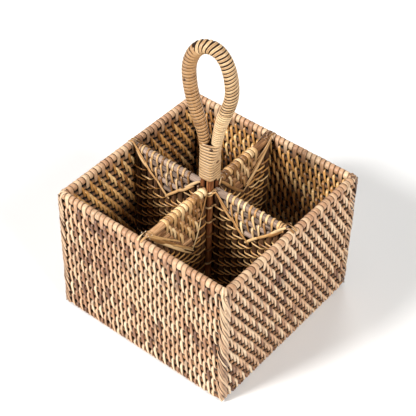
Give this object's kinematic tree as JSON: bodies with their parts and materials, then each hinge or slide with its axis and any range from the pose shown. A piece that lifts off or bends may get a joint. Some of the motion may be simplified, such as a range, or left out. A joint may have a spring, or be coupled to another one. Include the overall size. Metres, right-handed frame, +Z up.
{
  "type": "cutlery holder",
  "caption": "Square open rattan basket with crossed dividers that make compartments for cutlery, and a tall whipped loop handle on a bound neck at its centre.",
  "frame": {"origin": "middle of the underside of the base, on the surface that the holder stands on", "axes": "+Z up along the handle, +X and +Y square to the walls, with the front wall at -Y and the right wall at +X"},
  "size_m": [0.189, 0.189, 0.291],
  "materials": {
    "wall_rod": "round rattan core, brown, satin",
    "wall_cane": "split rattan cane, pale tan, satin",
    "base_rod": "round rattan core, brown, satin",
    "base_cane": "split rattan cane, tan, satin",
    "divider_rod": "round rattan core, grey-brown, satin",
    "divider_cane": "split rattan cane, golden, satin",
    "post_rod": "rattan rod with its skin on, reddish brown, glossy",
    "handle_rod": "rattan rod, brown, satin",
    "handle_cane": "split rattan cane, pale honey, satin"
  },
  "bodies": {
    "root": {"front_wall_rods": "wall_rod", "front_rim_rod": "wall_rod", "front_wall_cane": "wall_cane", "front_divider_rods": "divider_rod", "front_divider_cane": "divider_cane", "front_rail_lashing": "divider_cane", "right_wall_rods": "wall_rod", "right_rim_rod": "wall_rod", "right_wall_cane": "wall_cane", "right_divider_rods": "divider_rod", "right_divider_cane": "divider_cane", "right_rail_lashing": "divider_cane", "back_wall_rods": "wall_rod", "back_rim_rod": "wall_rod", "back_wall_cane": "wall_cane", "back_divider_rods": "divider_rod", "back_divider_cane": "divider_cane", "back_rail_lashing": "divider_cane", "left_wall_rods": "wall_rod", "left_rim_rod": "wall_rod", "left_wall_cane": "wall_cane", "left_divider_rods": "divider_rod", "left_divider_cane": "divider_cane", "left_rail_lashing": "divider_cane", "front_right_corner_cane": "wall_cane", "front_right_post": "post_rod", "back_right_corner_cane": "wall_cane", "back_right_post": "post_rod", "back_left_corner_cane": "wall_cane", "back_left_post": "post_rod", "front_left_corner_cane": "wall_cane", "front_left_post": "post_rod", "base_rods": "base_rod", "base_cane": "base_cane", "post_ties": "divider_cane", "handle_loop": "handle_rod", "right_handle_whipping": "handle_cane", "left_handle_whipping": "handle_cane", "neck_binding": "handle_cane"}
  },
  "joints": []
}
